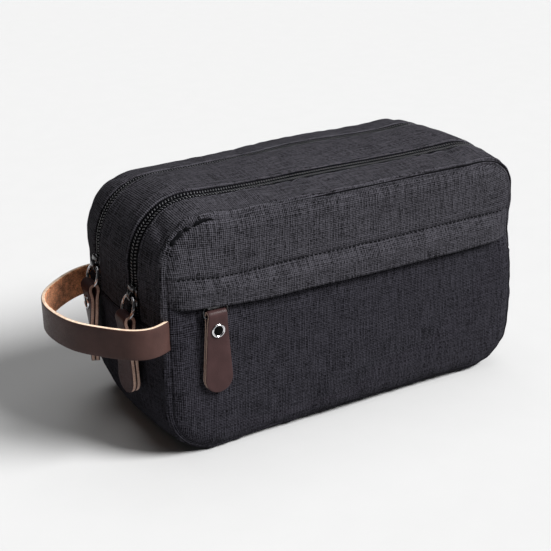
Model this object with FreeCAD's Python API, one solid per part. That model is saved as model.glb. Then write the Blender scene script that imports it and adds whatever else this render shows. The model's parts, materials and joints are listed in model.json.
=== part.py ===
import FreeCAD, Part
import math
import os

os.makedirs("parts", exist_ok=True)

# Soft two-compartment zip toiletry bag with a leather carrying loop.
# Millimetres. Origin: centre of the base, on the surface the bag stands on.
# +X runs along the bag, the loop and the closed zips are at -X; -Y is the pocket side; +Z is up.

V = FreeCAD.Vector

# Driving dimensions of the bag
LENGTH = 260.0           # between the end seams
DEPTH = 114.0            # between the front and the rear seam
SEAM_BOTTOM = 3.0        # the seams sit a little above the floor
SEAM_TOP = 153.0
TOP_RADIUS = 37.0
BOTTOM_RADIUS = 32.0
CROWN = 6.0              # how far the gusset bows out halfway between its seams
FOLD_Z = 119.0           # a lid folds back about this line when its zip is open
END_SEAM_Z = 87.0        # the zip gusset is joined to the base band here

# Cloth
CANVAS = 1.2
LINING = 0.6
FOAM = 2.4
FOLD_GAP = 0.3           # each side of the fold line
DIVIDER = 1.5
BINDING = 2.0
BINDING_WIDTH = 5.0

# Front face, from the inside out (distances from the bag's middle plane)
FRONT_LINING_Y = 50.8
POCKET_BACK_Y = FRONT_LINING_Y + LINING + FOAM
POCKET_DEPTH = 4.6
POCKET_IN_Y = POCKET_BACK_Y + LINING + POCKET_DEPTH
POCKET_OUT_Y = POCKET_IN_Y + CANVAS
POCKET_TOP_Z = 99.5
POCKET_RIM = 1.5
FLAP_IN_Y = POCKET_OUT_Y + 3.3
FLAP_OUT_Y = FLAP_IN_Y + CANVAS
FLAP_EDGE_Z = 97.8
FLAP_FACING_Z = 106.0    # the flap's turned-in layer ends here, above the pocket zip
FLAP_SEAM = 2.2          # thickness of the stitched top edge
LID_FOAM = 3.0           # padding of the lid panels and of the rear panel
PANEL_INSET = 0.5        # face panels stop this far inside the seam outline
LINING_INSET = 2.5

# Coil zips
ZIP_Y = 28.0
ZIP_SLOT = 3.0           # half the opening between the gusset edges
ROW_GAP = 0.6            # half the space between two coil rows
ROW_WIDTH = 1.8
TAPE_REACH = 8.0         # from the zip's middle to the sewn edge of a tape
COIL_PROUD = 0.2
POCKET_ZIP_Z = 102.5
STOP_LENGTH = 3.0
STOP_PROUD = 0.9
STOP_GAP = 0.6           # from the end seam to a zip's stop
POCKET_ZIP_MARGIN = 8.0  # from an end seam to the end of the pocket zip

# Slider, wire ring and leather pull
PLATE_LENGTH = 11.0
PLATE_WIDTH = 8.5
PLATE_THICKNESS = 1.4
PLATE_CORNER = 2.5
UNDER_PLATE = 1.1
PLATE_CLEARANCE = 1.0
UNDER_CLEARANCE = 0.8
NECK_LENGTH = 4.0
NECK_WIDTH = 0.5
SLIDER_Z = 102.5
BAIL_OUTER = 3.4
BAIL_INNER = 2.2
BAIL_WIDTH = 2.4
RING_WIRE = 0.7
RING_WIDTH = 15.6
RING_CORNER = 2.0
RING_TOP_OUT = 1.25      # from the slider plate to the ring's top wire
RING_REACH_OUT = 4.5     # the ring leans out by this much as it hangs
RING_DROP = 13.6
LEATHER = 1.75
PULL_TOP_WIDTH = 13.0
PULL_WIDTH = 18.5
PULL_LENGTH = 49.0       # from the eye's axis to the tip
PULL_ROUND = 8.6
EYE_RADIUS = 3.9
POCKET_EYE_RADIUS = 2.9
EYE_TAPER = 6.0
RIVET_DROP = 10.5
RIVET_RADIUS = 4.4
RIVET_CAP = 1.0
RIVET_STEM = 1.5
RIVET_DISH = 2.4
POCKET_PULL_X = -100.0
POCKET_EYE_Z = 93.9
POCKET_RING_WIRE = 0.55

# Carrying loop
STRAP_WIDTH = 19.0
STRAP_THICKNESS = 2.8
STRAP_Z = 85.5
STRAP_HINGE_X = -141.0
STRAP_ROOT_X = -131.2
STRAP_ROOT_FRONT_Y = -58.6
STRAP_ROOT_REAR_Y = 58.5
TAB_LENGTH = 7.0
STRAP_FAR_X = -176.5

BIG = 400.0
CORE = 25.0              # depth of the swept skin; a plain block fills what is inside it


def box(x, y, z):
    """A block between two values on each axis."""
    low = V(min(x), min(y), min(z))
    return Part.makeBox(max(x) - low.x, max(y) - low.y, max(z) - low.z, low)


def above(level):
    return box((-BIG, BIG), (-BIG, BIG), (level, BIG))


def below(level):
    return box((-BIG, BIG), (-BIG, BIG), (-BIG, level))


def slab(start, end):
    return box((-BIG, BIG), (start, end), (-BIG, BIG))


def outward(angle):
    """Unit vector out of the seam outline; 0 is the top and 90 the right end."""
    turn = math.radians(angle)
    return V(math.sin(turn), 0, math.cos(turn))


def crown_at(y):
    """Height of the gusset's bow at a distance y from the middle plane."""
    half = DEPTH / 2
    radius = (half ** 2 + CROWN ** 2) / (2 * CROWN)
    return math.sqrt(radius ** 2 - y ** 2) - (radius - CROWN)


def crown_profile(offset):
    """Section of the bowed gusset, moved out by offset, drawn for the top of the bag."""
    half = DEPTH / 2
    low_front = V(0, -half, -CORE)
    high_front = V(0, -half, offset)
    middle = V(0, 0, CROWN + offset)
    high_rear = V(0, half, offset)
    low_rear = V(0, half, -CORE)
    edges = [
        Part.makeLine(low_front, high_front),
        Part.Arc(high_front, middle, high_rear).toShape(),
        Part.makeLine(high_rear, low_rear),
        Part.makeLine(low_rear, low_front),
    ]
    return Part.Face(Part.Wire(edges))


def placed(shape, angle, point):
    turned = shape.copy()
    turned.rotate(V(0, 0, 0), V(0, 1, 0), angle)
    turned.translate(point)
    return turned


def barrel(offset):
    """The bag's whole bowed volume, grown by offset and standing flat on its base."""
    section = crown_profile(offset)
    end_x = LENGTH / 2
    top_x = end_x - TOP_RADIUS
    bottom_x = end_x - BOTTOM_RADIUS
    side_top = SEAM_TOP - TOP_RADIUS
    side_bottom = SEAM_BOTTOM + BOTTOM_RADIUS
    runs = [
        (0, V(-top_x, 0, SEAM_TOP), V(2 * top_x, 0, 0)),
        (90, V(end_x, 0, side_top), V(0, 0, side_bottom - side_top)),
        (180, V(bottom_x, 0, SEAM_BOTTOM), V(-2 * bottom_x, 0, 0)),
        (270, V(-end_x, 0, side_bottom), V(0, 0, side_top - side_bottom)),
    ]
    corners = [
        (0, V(top_x, 0, side_top), TOP_RADIUS),
        (90, V(bottom_x, 0, side_bottom), BOTTOM_RADIUS),
        (180, V(-bottom_x, 0, side_bottom), BOTTOM_RADIUS),
        (270, V(-top_x, 0, side_top), TOP_RADIUS),
    ]
    solids = [placed(section, angle, start).extrude(step) for angle, start, step in runs]
    for angle, centre, radius in corners:
        start = centre + outward(angle) * radius
        solids.append(placed(section, angle, start).revolve(centre, V(0, 1, 0), 90))
    inset = CORE - 1
    core = box(
        (-end_x + inset, end_x - inset),
        (-DEPTH / 2, DEPTH / 2),
        (SEAM_BOTTOM + inset, SEAM_TOP - inset),
    )
    return core.multiFuse(solids).removeSplitter().common(above(-offset))


def rounded_rectangle(x_half, z_low, z_high, bottom_radius, top_radius, y):
    """Closed wire in a plane of constant y, with its own radius below and above."""
    mid = math.sqrt(0.5)
    corners = [
        (x_half - top_radius, z_high - top_radius, top_radius, 0),
        (x_half - bottom_radius, z_low + bottom_radius, bottom_radius, 90),
        (bottom_radius - x_half, z_low + bottom_radius, bottom_radius, 180),
        (top_radius - x_half, z_high - top_radius, top_radius, 270),
    ]
    arcs = []
    for x, z, radius, angle in corners:
        centre = V(x, y, z)
        start = outward(angle)
        end = outward(angle + 90)
        middle = (start + end) * mid
        arcs.append(Part.Arc(centre + start * radius, centre + middle * radius, centre + end * radius))
    edges = []
    for index, arc in enumerate(arcs):
        edges.append(arc.toShape())
        edges.append(Part.makeLine(arc.EndPoint, arcs[(index + 1) % len(arcs)].StartPoint))
    return Part.Wire(edges)


def panel(inset, start, end):
    """A plate with the outline of the bag's face, inset all round, between two values of y."""
    wire = rounded_rectangle(
        LENGTH / 2 - inset,
        SEAM_BOTTOM + inset,
        SEAM_TOP - inset,
        BOTTOM_RADIUS - inset,
        TOP_RADIUS - inset,
        start,
    )
    return Part.Face(wire).extrude(V(0, end - start, 0))


OUTSIDE = barrel(0)
UNDER_CANVAS = barrel(-CANVAS)
UNDER_LINING = barrel(-CANVAS - LINING)
UNDER_BINDING = barrel(-CANVAS - LINING - BINDING)
CANVAS_SHELL = OUTSIDE.cut(UNDER_CANVAS)
LINING_SHELL = UNDER_CANVAS.cut(UNDER_LINING)
COIL_SHELL = barrel(COIL_PROUD).cut(UNDER_CANVAS)
STOP_SHELL = barrel(STOP_PROUD).cut(barrel(COIL_PROUD))
BINDING_SHELL = UNDER_LINING.cut(UNDER_BINDING)
BAG_SIDE = below(FOLD_Z - FOLD_GAP)
LID_SIDE = above(FOLD_Z + FOLD_GAP)
ZIP_SIDE = above(END_SEAM_Z)


def strip(shell, side, inner, outer):
    """The part of a shell between two distances from the middle plane, on one side of it."""
    return shell.common(slab(side * inner, side * outer))


def tape_strips(side):
    """Both tapes of one zip: the one on the centre gusset and the one on the outer gusset."""
    centre = strip(LINING_SHELL, side, ZIP_Y - TAPE_REACH, ZIP_Y - ROW_GAP)
    outer = strip(LINING_SHELL, side, ZIP_Y + ROW_GAP, ZIP_Y + TAPE_REACH)
    return centre, outer


def coil_strips(side):
    centre = strip(COIL_SHELL, side, ZIP_Y - ROW_GAP - ROW_WIDTH, ZIP_Y - ROW_GAP)
    outer = strip(COIL_SHELL, side, ZIP_Y + ROW_GAP, ZIP_Y + ROW_GAP + ROW_WIDTH)
    return centre, outer


def band_parts():
    """The base band, the fixed centre gusset and the divider between the compartments."""
    centre_half = ZIP_Y - ZIP_SLOT
    base_band = CANVAS_SHELL.common(below(END_SEAM_Z))
    base_lining = LINING_SHELL.common(below(END_SEAM_Z))
    gusset = CANVAS_SHELL.common(slab(-centre_half, centre_half)).common(ZIP_SIDE)
    lining_half = ZIP_Y - TAPE_REACH
    gusset_lining = LINING_SHELL.common(slab(-lining_half, lining_half)).common(ZIP_SIDE)
    return {
        "base_band": base_band,
        "base_lining": base_lining,
        "centre_gusset": gusset,
        "centre_gusset_lining": gusset_lining,
        "divider": UNDER_LINING.common(slab(-DIVIDER / 2, DIVIDER / 2)),
    }


def zip_parts(name, side):
    """Gusset strips, lining, tapes, coil rows and end stops on one side of the centre gusset."""
    centre_tape, outer_tape = tape_strips(side)
    centre_coil, outer_coil = coil_strips(side)
    gusset = strip(CANVAS_SHELL, side, ZIP_Y + ZIP_SLOT, DEPTH / 2)
    lining = strip(LINING_SHELL, side, ZIP_Y + TAPE_REACH, DEPTH / 2)
    ends = ZIP_SIDE.common(BAG_SIDE)
    stop_foot = END_SEAM_Z + STOP_GAP
    stops = strip(STOP_SHELL, side, ZIP_Y - ROW_GAP - ROW_WIDTH, ZIP_Y + ROW_GAP + ROW_WIDTH)
    stop_range = above(stop_foot).common(below(stop_foot + STOP_LENGTH))
    return {
        name + "_zip_inner_tape": centre_tape.common(ZIP_SIDE),
        name + "_zip_inner_coil": centre_coil.common(ZIP_SIDE),
        name + "_gusset_ends": gusset.common(ends),
        name + "_gusset_end_linings": lining.common(ends),
        name + "_zip_end_tapes": outer_tape.common(ends),
        name + "_zip_end_coils": outer_coil.common(ends),
        name + "_zip_stops": stops.common(stop_range),
        name + "_gusset_top": gusset.common(LID_SIDE),
        name + "_gusset_lining": lining.common(LID_SIDE),
        name + "_zip_outer_tape": outer_tape.common(LID_SIDE),
        name + "_zip_outer_coil": outer_coil.common(LID_SIDE),
    }


def lid_panel_parts(name, side):
    """Canvas, padding and lining of the part of a face above the fold line."""
    face = side * DEPTH / 2
    padding = face + side * LID_FOAM
    return {
        name + "_top_panel": panel(PANEL_INSET, padding, padding + side * CANVAS).common(LID_SIDE),
        name + "_top_foam": panel(PANEL_INSET, face, padding).common(LID_SIDE),
        name + "_top_lining": panel(LINING_INSET, face - side * LINING, face).common(LID_SIDE),
    }


def strap_slot(y):
    """Room in the seam for one sewn end of the carrying loop."""
    half = STRAP_THICKNESS / 2
    return box(
        (STRAP_ROOT_X, STRAP_ROOT_X + TAB_LENGTH),
        (y - half, y + half),
        (STRAP_Z - STRAP_WIDTH / 2, STRAP_Z + STRAP_WIDTH / 2),
    )


def rear_face_parts():
    face = DEPTH / 2
    padding = face + LID_FOAM
    foam = panel(PANEL_INSET, face, padding).common(BAG_SIDE)
    return {
        "rear_panel": panel(PANEL_INSET, padding, padding + CANVAS).common(BAG_SIDE),
        "rear_foam": foam.cut(strap_slot(STRAP_ROOT_REAR_Y)),
        "rear_lining": panel(LINING_INSET, face - LINING, face).common(BAG_SIDE),
    }


def pocket_panel():
    """Outer layer of the front pocket, a shallow tray whose rim reaches back to the seam."""
    tray = panel(PANEL_INSET, -POCKET_OUT_Y, -DEPTH / 2)
    hollow = panel(PANEL_INSET + POCKET_RIM, -POCKET_IN_Y, -DEPTH / 2)
    return tray.cut(hollow).common(below(POCKET_TOP_Z)).cut(strap_slot(STRAP_ROOT_FRONT_Y))


def pocket_flap():
    """The overhanging welt: outer layer, stitched top edge and the layer turned in behind it."""
    hem = below(FOLD_Z - FOLD_GAP)
    seam_z = FOLD_Z - FOLD_GAP - FLAP_SEAM
    outer = panel(PANEL_INSET, -FLAP_OUT_Y, -FLAP_IN_Y).common(above(FLAP_EDGE_Z)).common(hem)
    seam = panel(PANEL_INSET, -FLAP_IN_Y, -DEPTH / 2).common(above(seam_z)).common(hem)
    inner_seam = panel(LINING_INSET, -DEPTH / 2, -POCKET_BACK_Y - LINING).common(above(seam_z)).common(hem)
    facing = panel(PANEL_INSET, -POCKET_OUT_Y, -POCKET_IN_Y).common(above(FLAP_FACING_Z)).common(hem)
    return outer.multiFuse([seam, inner_seam, facing]).removeSplitter()


def front_face_parts():
    face_lining = panel(LINING_INSET, -FRONT_LINING_Y - LINING, -FRONT_LINING_Y)
    foam = panel(LINING_INSET, -POCKET_BACK_Y, -FRONT_LINING_Y - LINING)
    backing = panel(LINING_INSET, -POCKET_BACK_Y - LINING, -POCKET_BACK_Y)
    return {
        "pocket_panel": pocket_panel(),
        "pocket_flap": pocket_flap(),
        "pocket_backing": backing.common(BAG_SIDE),
        "front_foam": foam.common(BAG_SIDE),
        "front_lining": face_lining.common(BAG_SIDE),
    }


def pocket_zip_parts():
    """Straight coil zip hidden behind the flap, with a block at each end of the coil."""
    half = LENGTH / 2 - POCKET_ZIP_MARGIN
    tape_y = (-POCKET_IN_Y, -POCKET_IN_Y + LINING)
    coil_y = (-POCKET_OUT_Y - COIL_PROUD, -POCKET_IN_Y)
    tapes = []
    coils = []
    for side in (-1, 1):
        near = POCKET_ZIP_Z + side * ROW_GAP
        tapes.append(box((-half, half), tape_y, (near, POCKET_ZIP_Z + side * TAPE_REACH)))
        coils.append(box((-half, half), coil_y, (near, near + side * ROW_WIDTH)))
    stop_y = (coil_y[0] - STOP_PROUD + COIL_PROUD, coil_y[0])
    reach = ROW_GAP + ROW_WIDTH
    stop_z = (POCKET_ZIP_Z - reach, POCKET_ZIP_Z + reach)
    stops = [box((side * half, side * (half - STOP_LENGTH)), stop_y, stop_z) for side in (-1, 1)]
    return {
        "pocket_zip_tapes": Part.Compound(tapes),
        "pocket_zip_coils": Part.Compound(coils),
        "pocket_zip_stops": Part.Compound(stops),
    }


def binding_parts():
    """Tape that covers the raw seam edges inside, below the fold line."""
    front_start = FRONT_LINING_Y - BINDING_WIDTH
    rear_start = DEPTH / 2 - LINING - BINDING_WIDTH
    front = strip(BINDING_SHELL, -1, front_start, FRONT_LINING_Y)
    rear = strip(BINDING_SHELL, 1, rear_start, DEPTH / 2 - LINING)
    return {
        "front_binding": front.common(BAG_SIDE),
        "rear_binding": rear.common(BAG_SIDE),
    }


def rounded_plate(length, width, radius, thickness):
    """A flat plate centred on the origin in the YZ plane, from x = 0 to x = -thickness."""
    wire = rounded_rectangle(width / 2, -length / 2, length / 2, radius, radius, 0)
    plate = Part.Face(wire).extrude(V(0, thickness, 0))
    plate.rotate(V(0, 0, 0), V(0, 0, 1), 90)
    return plate


def slider_plates():
    """Top plate, under plate and neck; x = 0 is the coil's outer face, -x is outwards."""
    top = rounded_plate(PLATE_LENGTH, PLATE_WIDTH, PLATE_CORNER, PLATE_THICKNESS)
    top.translate(V(-PLATE_CLEARANCE, 0, 0))
    inside = CANVAS + COIL_PROUD + LINING + UNDER_CLEARANCE
    under = rounded_plate(PLATE_LENGTH - 1, PLATE_WIDTH - 1.5, PLATE_CORNER, UNDER_PLATE)
    under.translate(V(inside + UNDER_PLATE, 0, 0))
    neck = box(
        (-PLATE_CLEARANCE - PLATE_THICKNESS / 2, inside + UNDER_PLATE / 2),
        (-NECK_WIDTH / 2, NECK_WIDTH / 2),
        (-NECK_LENGTH / 2, NECK_LENGTH / 2),
    )
    return top.multiFuse([under, neck]).removeSplitter()


def bail(plate_x):
    """Half ring on the slider's plate that the wire ring hangs from."""
    start = V(plate_x, -BAIL_WIDTH / 2, 0)
    outer = Part.makeCylinder(BAIL_OUTER, BAIL_WIDTH, start, V(0, 1, 0))
    inner = Part.makeCylinder(BAIL_INNER, BAIL_WIDTH, start, V(0, 1, 0))
    half = box((plate_x - BAIL_OUTER, plate_x + 0.4), (-BAIL_WIDTH, BAIL_WIDTH), (-BAIL_OUTER, BAIL_OUTER))
    return outer.cut(inner).common(half)


def wire_loop(width, drop, corner, wire):
    """Rounded rectangle of wire in the YZ plane, hanging from the origin."""
    half = width / 2
    rods = []
    for z in (0, -drop):
        rods.append(Part.makeCylinder(wire, width - 2 * corner, V(0, corner - half, z), V(0, 1, 0)))
    for y in (-half, half):
        rods.append(Part.makeCylinder(wire, drop - 2 * corner, V(0, y, corner - drop), V(0, 0, 1)))
    for y_sign in (-1, 1):
        for z in (-corner, corner - drop):
            centre = V(0, y_sign * (half - corner), z)
            ring = Part.makeTorus(corner, wire, centre, V(1, 0, 0))
            z_end = 0 if z == -corner else -drop
            quarter = box(
                (-wire, wire),
                (centre.y, y_sign * (half + wire)),
                (centre.z, z_end + (wire if z_end == 0 else -wire)),
            )
            rods.append(ring.common(quarter))
    return rods[0].multiFuse(rods[1:]).removeSplitter()


def folded_leather(eye_radius):
    """Leather strip folded over the ring, hanging from its eye on the Y axis, broad side on X."""
    tangent = V(eye_radius * 0.97, 0, -eye_radius * 0.24)
    mirror = V(-tangent.x, 0, tangent.z)
    side = [
        Part.Arc(tangent, V(0, 0, eye_radius), mirror).toShape(),
        Part.makeLine(mirror, V(-LEATHER, 0, -EYE_TAPER)),
        Part.makeLine(V(-LEATHER, 0, -EYE_TAPER), V(-LEATHER, 0, -PULL_LENGTH)),
        Part.makeLine(V(-LEATHER, 0, -PULL_LENGTH), V(LEATHER, 0, -PULL_LENGTH)),
        Part.makeLine(V(LEATHER, 0, -PULL_LENGTH), V(LEATHER, 0, -EYE_TAPER)),
        Part.makeLine(V(LEATHER, 0, -EYE_TAPER), tangent),
    ]
    section = Part.Face(Part.Wire(side))
    section.translate(V(0, -PULL_WIDTH, 0))
    body = section.extrude(V(0, 2 * PULL_WIDTH, 0))

    top_y = PULL_TOP_WIDTH / 2
    low_y = PULL_WIDTH / 2
    low_z = PULL_ROUND - PULL_LENGTH
    front = [
        Part.makeLine(V(0, -top_y, eye_radius), V(0, top_y, eye_radius)),
        Part.makeLine(V(0, top_y, eye_radius), V(0, low_y, low_z)),
        Part.Arc(V(0, low_y, low_z), V(0, 0, -PULL_LENGTH), V(0, -low_y, low_z)).toShape(),
        Part.makeLine(V(0, -low_y, low_z), V(0, -top_y, eye_radius)),
    ]
    outline = Part.Face(Part.Wire(front))
    outline.translate(V(-2 * EYE_RADIUS, 0, 0))
    body = body.common(outline.extrude(V(4 * EYE_RADIUS, 0, 0)))
    eye = Part.makeCylinder(eye_radius - LEATHER, 2 * PULL_WIDTH, V(0, -PULL_WIDTH, 0), V(0, 1, 0))
    stem = Part.makeCylinder(RIVET_STEM, 4 * LEATHER, V(-2 * LEATHER, 0, -RIVET_DROP), V(1, 0, 0))
    return body.cut(eye).cut(stem)


def rivet():
    """Two caps joined by a stem through both layers of the pull; the outer cap is dished."""
    start = V(-LEATHER - RIVET_CAP, 0, -RIVET_DROP)
    length = 2 * (LEATHER + RIVET_CAP)
    solid = Part.makeCylinder(RIVET_STEM, length, start, V(1, 0, 0))
    front_cap = Part.makeCone(RIVET_RADIUS - 0.7, RIVET_RADIUS, RIVET_CAP, start, V(1, 0, 0))
    back = V(LEATHER, 0, -RIVET_DROP)
    back_cap = Part.makeCone(RIVET_RADIUS, RIVET_RADIUS - 0.7, RIVET_CAP, back, V(1, 0, 0))
    dish = Part.makeCylinder(RIVET_DISH, RIVET_CAP / 2, start, V(1, 0, 0))
    return solid.multiFuse([front_cap, back_cap]).removeSplitter().cut(dish)


def pull_parts(name, eye_radius, place):
    """Leather and rivet, both moved by place()."""
    return {
        name + "_pull": place(folded_leather(eye_radius)),
        name + "_rivet": place(rivet()),
    }


def end_slider_parts(name, side):
    """Slider, ring and pull of one main zip, on the left end of the bag."""
    coil_x = -LENGTH / 2 - crown_at(ZIP_Y) - COIL_PROUD
    zip_point = V(coil_x, side * ZIP_Y, SLIDER_Z)
    slider = slider_plates().fuse(bail(-PLATE_CLEARANCE - PLATE_THICKNESS)).removeSplitter()
    slider.translate(zip_point)

    ring_top = zip_point + V(-PLATE_CLEARANCE - PLATE_THICKNESS - RING_TOP_OUT, 0, 0)
    lean = math.degrees(math.atan2(RING_REACH_OUT, RING_DROP))
    drop = math.hypot(RING_REACH_OUT, RING_DROP)
    ring = wire_loop(RING_WIDTH, drop, RING_CORNER, RING_WIRE)
    ring.rotate(V(0, 0, 0), V(0, 1, 0), lean)
    ring.translate(ring_top)

    eye = ring_top + V(-RING_REACH_OUT, 0, -RING_DROP)
    print(name, "ring axis", tuple(ring_top), "pull axis", tuple(eye))

    def place(shape):
        shape.translate(eye)
        return shape

    parts = {name + "_slider": slider, name + "_ring": ring}
    parts.update(pull_parts(name, EYE_RADIUS, place))
    return parts


def pocket_slider_parts():
    """Slider behind the flap with its own wire loop, and the pull that hangs below the edge."""
    coil_y = -POCKET_OUT_Y - COIL_PROUD
    plates = slider_plates()
    plates.rotate(V(0, 0, 0), V(1, 0, 0), 90)
    plates.rotate(V(0, 0, 0), V(0, 0, 1), 90)
    plates.translate(V(0, coil_y, POCKET_ZIP_Z))
    wire_top = V(0, coil_y - PLATE_CLEARANCE - PLATE_THICKNESS / 2, POCKET_ZIP_Z - 2.5)
    eye = V(0, -POCKET_OUT_Y - POCKET_EYE_RADIUS - 0.4, POCKET_EYE_Z)
    hang = eye - wire_top
    loop = wire_loop(RING_WIDTH, hang.Length, RING_CORNER, POCKET_RING_WIRE)
    loop.rotate(V(0, 0, 0), V(0, 0, 1), 90)
    loop.rotate(V(0, 0, 0), V(1, 0, 0), -math.degrees(math.atan2(-hang.y, -hang.z)))
    loop.translate(wire_top)
    slider = plates.fuse(loop).removeSplitter()
    slider.translate(V(POCKET_PULL_X, 0, 0))
    print("pocket pull axis", POCKET_PULL_X, eye.y, eye.z)

    def place(shape):
        shape.rotate(V(0, 0, 0), V(0, 0, 1), 90)
        shape.translate(eye + V(POCKET_PULL_X, 0, 0))
        return shape

    parts = {"pocket_slider": slider}
    parts.update(pull_parts("pocket", POCKET_EYE_RADIUS, place))
    return parts


def strap_centreline():
    """Plan of the loop, from the front seam out round the end of the bag to the rear seam."""
    reach = STRAP_ROOT_X - 0.3 - STRAP_FAR_X
    points = [
        V(STRAP_ROOT_X - 0.3, STRAP_ROOT_FRONT_Y, 0),
        V(STRAP_ROOT_X - 0.21 * reach, -61.8, 0),
        V(STRAP_ROOT_X - 0.62 * reach, -51.5, 0),
        V(STRAP_ROOT_X - 0.90 * reach, -28.0, 0),
        V(STRAP_FAR_X, 0, 0),
        V(STRAP_ROOT_X - 0.90 * reach, 25.5, 0),
        V(STRAP_ROOT_X - 0.62 * reach, 46.5, 0),
        V(STRAP_ROOT_X - 0.21 * reach, 57.0, 0),
        V(STRAP_ROOT_X - 0.3, STRAP_ROOT_REAR_Y, 0),
    ]
    curve = Part.BSplineCurve()
    curve.interpolate(points)
    return curve


def handle_parts():
    """The swinging part of the loop and the two short ends sewn into the seams."""
    curve = strap_centreline()
    steps = 24
    first, last = curve.FirstParameter, curve.LastParameter
    sides = {-1: [], 1: []}
    for step in range(steps + 1):
        at = first + (last - first) * step / steps
        across = curve.tangent(at)[0].cross(V(0, 0, 1))
        for side, points in sides.items():
            points.append(curve.value(at) + across * (side * STRAP_THICKNESS / 2))
    edges = []
    for points in sides.values():
        edge = Part.BSplineCurve()
        edge.interpolate(points)
        edges.append(edge.toShape())
    ends = [Part.makeLine(sides[-1][index], sides[1][index]) for index in (0, -1)]
    plan = Part.Face(Part.Wire([edges[0], ends[1], edges[1], ends[0]]))
    plan.translate(V(0, 0, STRAP_Z - STRAP_WIDTH / 2))
    strap = plan.extrude(V(0, 0, STRAP_WIDTH))
    hinge = V(STRAP_HINGE_X, -BIG / 2, STRAP_Z)
    round_end = Part.makeCylinder(STRAP_WIDTH / 2, BIG, hinge, V(0, 1, 0))
    outer_part = box((-BIG, STRAP_HINGE_X), (-BIG / 2, BIG / 2), (0, BIG))
    strap = strap.common(outer_part.fuse(round_end))
    tabs = [strap_slot(y) for y in (STRAP_ROOT_FRONT_Y, STRAP_ROOT_REAR_Y)]
    return {"handle_strap": strap, "handle_tabs": Part.Compound(tabs)}


def all_parts():
    parts = band_parts()
    for name, side in (("front", -1), ("rear", 1)):
        parts.update(zip_parts(name, side))
        parts.update(lid_panel_parts(name, side))
        parts.update(end_slider_parts(name, side))
    parts.update(rear_face_parts())
    parts.update(front_face_parts())
    parts.update(pocket_zip_parts())
    parts.update(binding_parts())
    parts.update(pocket_slider_parts())
    parts.update(handle_parts())
    return parts


for node, shape in all_parts().items():
    solids = shape.Solids
    good = shape.isValid() and all(solid.isValid() for solid in solids)
    shape.exportStep("parts/" + node + ".step")
    print(node, "solids", len(solids), "ok" if good else "INVALID", "volume", round(shape.Volume))
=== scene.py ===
import json
import math

import bpy
import numpy as np
from mathutils import Matrix, Vector


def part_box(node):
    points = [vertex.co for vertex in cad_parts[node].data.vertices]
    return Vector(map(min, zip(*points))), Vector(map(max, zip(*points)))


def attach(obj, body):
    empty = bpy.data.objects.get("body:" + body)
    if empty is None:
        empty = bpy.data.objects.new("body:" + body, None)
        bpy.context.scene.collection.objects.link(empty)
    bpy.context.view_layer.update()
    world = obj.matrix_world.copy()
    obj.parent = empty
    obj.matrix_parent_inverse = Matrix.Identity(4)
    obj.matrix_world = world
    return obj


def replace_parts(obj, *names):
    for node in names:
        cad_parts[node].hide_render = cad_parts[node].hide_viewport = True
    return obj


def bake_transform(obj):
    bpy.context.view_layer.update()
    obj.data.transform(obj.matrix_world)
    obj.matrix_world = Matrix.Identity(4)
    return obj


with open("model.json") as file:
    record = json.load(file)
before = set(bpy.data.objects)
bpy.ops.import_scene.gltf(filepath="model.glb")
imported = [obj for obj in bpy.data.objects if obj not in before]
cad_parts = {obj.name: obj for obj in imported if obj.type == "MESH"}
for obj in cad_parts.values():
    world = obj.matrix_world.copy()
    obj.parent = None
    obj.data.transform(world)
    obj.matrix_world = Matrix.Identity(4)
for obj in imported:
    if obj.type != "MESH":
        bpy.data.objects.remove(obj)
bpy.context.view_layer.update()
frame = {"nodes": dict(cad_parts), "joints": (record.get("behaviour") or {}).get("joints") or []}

# Everything below is worked out in millimetres in the part's frame and turned into metres when a
# mesh is made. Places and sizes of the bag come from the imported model.

MM = 0.001
UV_SCALE = 0.01          # one unit of a piece's UV map is 100 mm of cloth


def low(node, axis):
    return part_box(node)[0][axis] / MM


def high(node, axis):
    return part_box(node)[1][axis] / MM


JOINTS = {joint["name"]: joint for joint in frame["joints"]}


def joint_at(name):
    """Where a hinge's axis passes, in millimetres."""
    return np.array(JOINTS[name]["pos_m"]) / MM


PANEL_INSET = 0.5
SEAM_Y = high("base_band", 1)
END_X = high("rear_foam", 0) + PANEL_INSET
SEAM_TOP = high("rear_top_foam", 2) + PANEL_INSET
SEAM_BOTTOM = low("rear_foam", 2) - PANEL_INSET
END_SEAM_Z = high("base_band", 2)
CROWN = high("centre_gusset", 2) - SEAM_TOP
ZIP_Y = (low("rear_slider", 1) + high("rear_slider", 1)) / 2
FOLD_Z = joint_at("front_lid_open")[2]
TOP_RADIUS = 37.0        # corners of the seam outline
BOTTOM_RADIUS = 32.0
GUSSET_EDGE = 5.8        # from a zip's middle to the folded edge of the cloth beside it
FLAP_EDGE_Z = low("pocket_flap", 2)
POCKET_TOP_Z = high("pocket_panel", 2)
ZIP_STITCHES = 1.9       # from that folded edge to the row of stitches that holds it
CANVAS = 1.0             # thickness of each cloth
FLAP_CLOTH = 0.6
TAPE_CLOTH = 0.5
LINING_CLOTH = 0.4
DIVIDER_CLOTH = 0.8

rng = np.random.default_rng(7)


# ---- outline and soft shape

SIDE_RUN = (SEAM_TOP - TOP_RADIUS) - (SEAM_BOTTOM + BOTTOM_RADIUS)
TOP_RUN = 2 * (END_X - TOP_RADIUS)
BOTTOM_RUN = 2 * (END_X - BOTTOM_RADIUS)
TOP_ARC = TOP_RADIUS * math.pi / 2
BOTTOM_ARC = BOTTOM_RADIUS * math.pi / 2
RUNS = (SIDE_RUN, TOP_ARC, TOP_RUN, TOP_ARC, SIDE_RUN, BOTTOM_ARC, BOTTOM_RUN, BOTTOM_ARC)
LAPS = np.cumsum([0, *RUNS])
PERIMETER = LAPS[-1]
LOW_Z = SEAM_BOTTOM + BOTTOM_RADIUS
HIGH_Z = SEAM_TOP - TOP_RADIUS
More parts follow.
